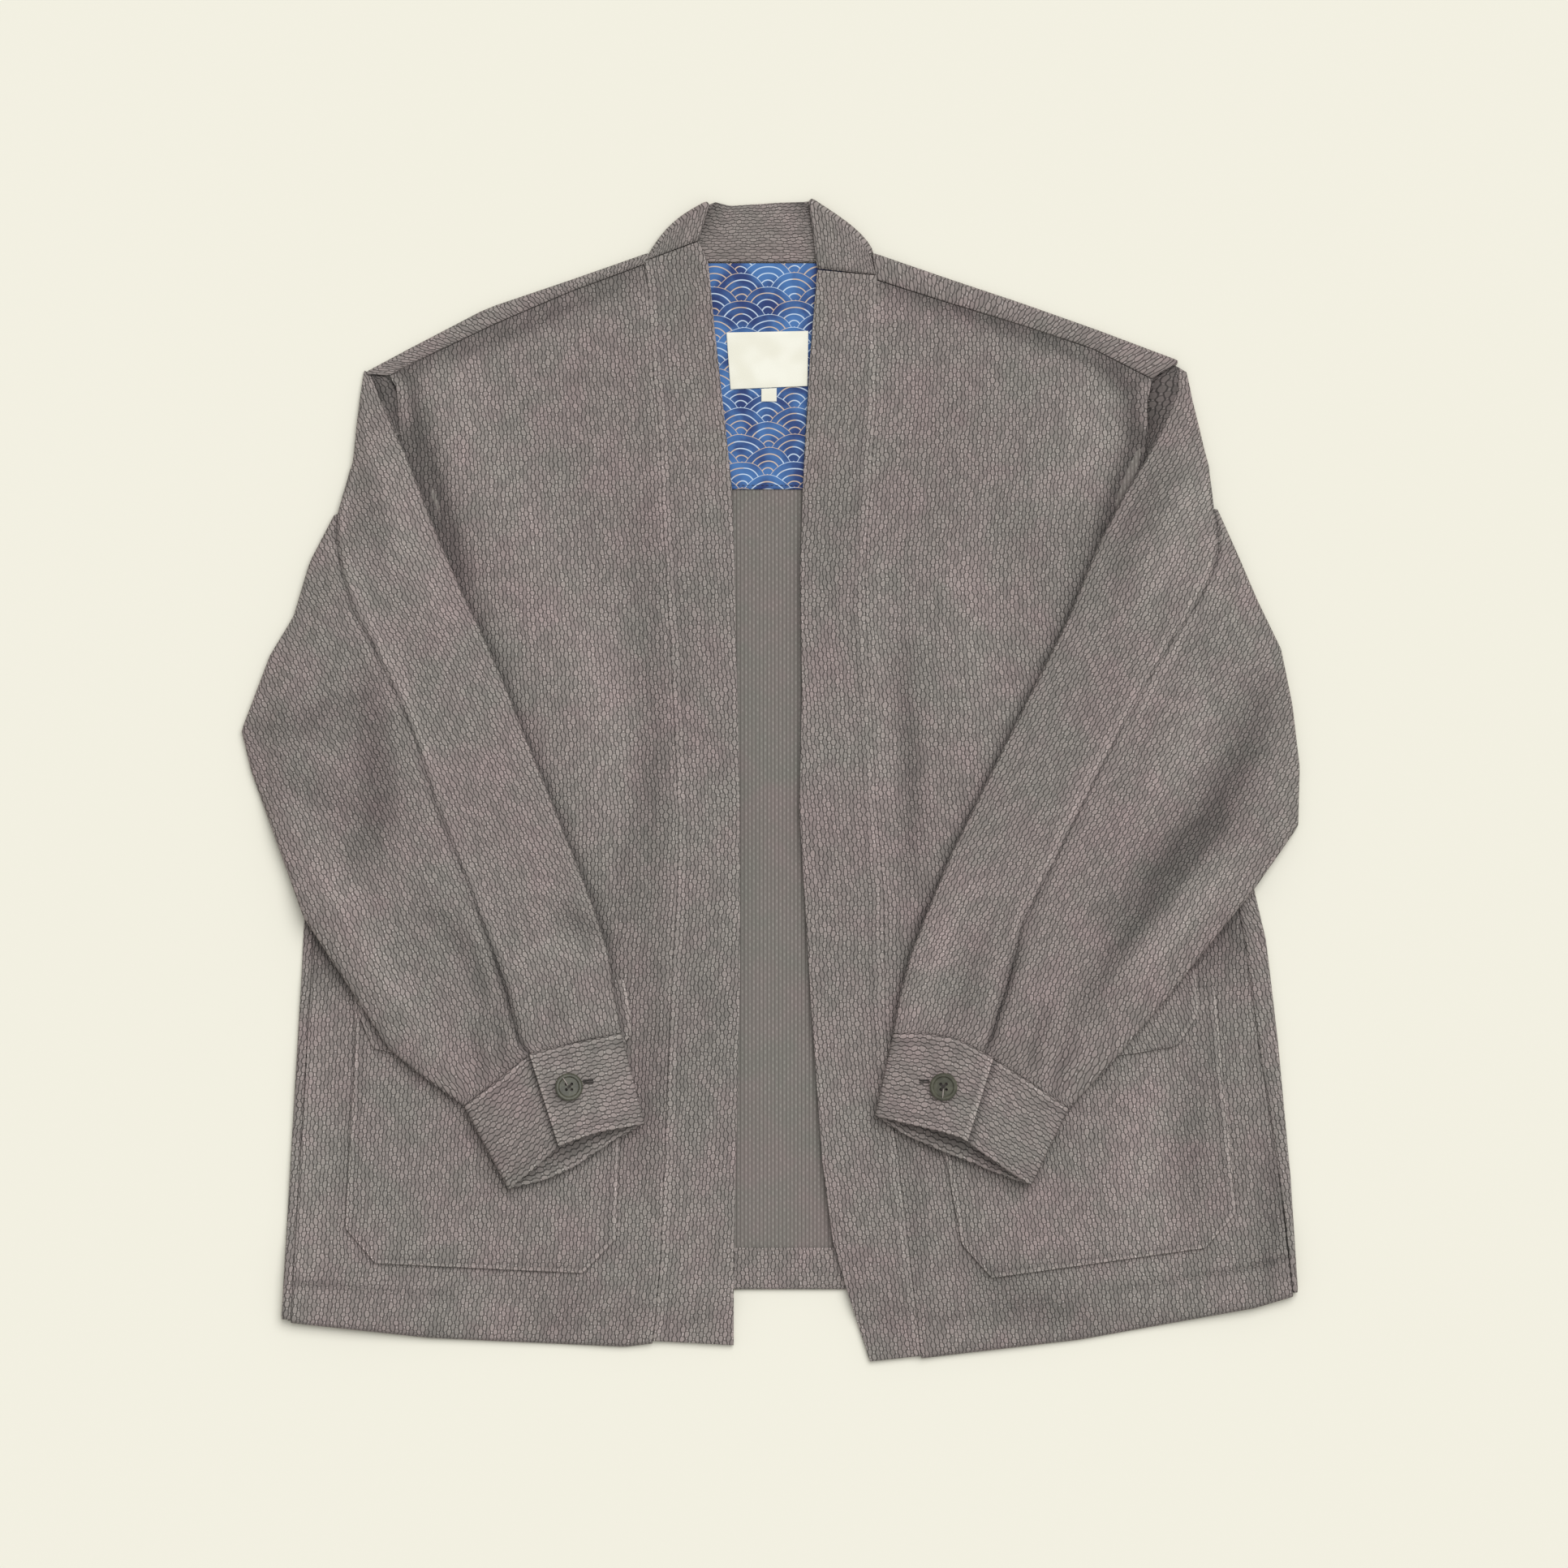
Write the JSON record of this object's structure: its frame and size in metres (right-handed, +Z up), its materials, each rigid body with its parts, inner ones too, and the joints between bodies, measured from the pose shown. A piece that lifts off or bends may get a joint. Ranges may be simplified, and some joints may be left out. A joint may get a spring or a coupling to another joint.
{
  "type": "sashiko jacket",
  "caption": "Open-front long-sleeved jacket in thick rice-grain cotton, laid flat with its sleeves folded over the fronts, with a straight neck band, flapped pockets and buttoned cuffs.",
  "frame": {"origin": "centre of the garment's outline, on the surface that it lies on", "axes": "+Y from hem to neck, +X towards the picture's right, +Z up out of the surface"},
  "size_m": [0.6776, 0.7444, 0.0265],
  "materials": {
    "rice_grain_cotton": "thick cotton in a raised rice-grain weave, matt",
    "printed_cotton": "plain-weave cotton, indigo print, matt",
    "label_tape": "smooth satin tape, cream",
    "button_shell": "dark olive grey, soft sheen"
  },
  "bodies": {
    "root": {"back": "rice_grain_cotton", "band_left": "rice_grain_cotton", "band_neck": "rice_grain_cotton", "band_right": "rice_grain_cotton", "button_left": "button_shell", "button_right": "button_shell", "cuff_left": "rice_grain_cotton", "cuff_right": "rice_grain_cotton", "front_left": "rice_grain_cotton", "front_right": "rice_grain_cotton", "label": "label_tape", "neck_facing": "printed_cotton", "pocket_flap_left": "rice_grain_cotton", "pocket_flap_right": "rice_grain_cotton", "pocket_left": "rice_grain_cotton", "pocket_right": "rice_grain_cotton", "size_tab": "label_tape", "sleeve_under_left": "rice_grain_cotton", "sleeve_under_right": "rice_grain_cotton", "sleeve_upper_left": "rice_grain_cotton", "sleeve_upper_right": "rice_grain_cotton"}
  },
  "joints": []
}
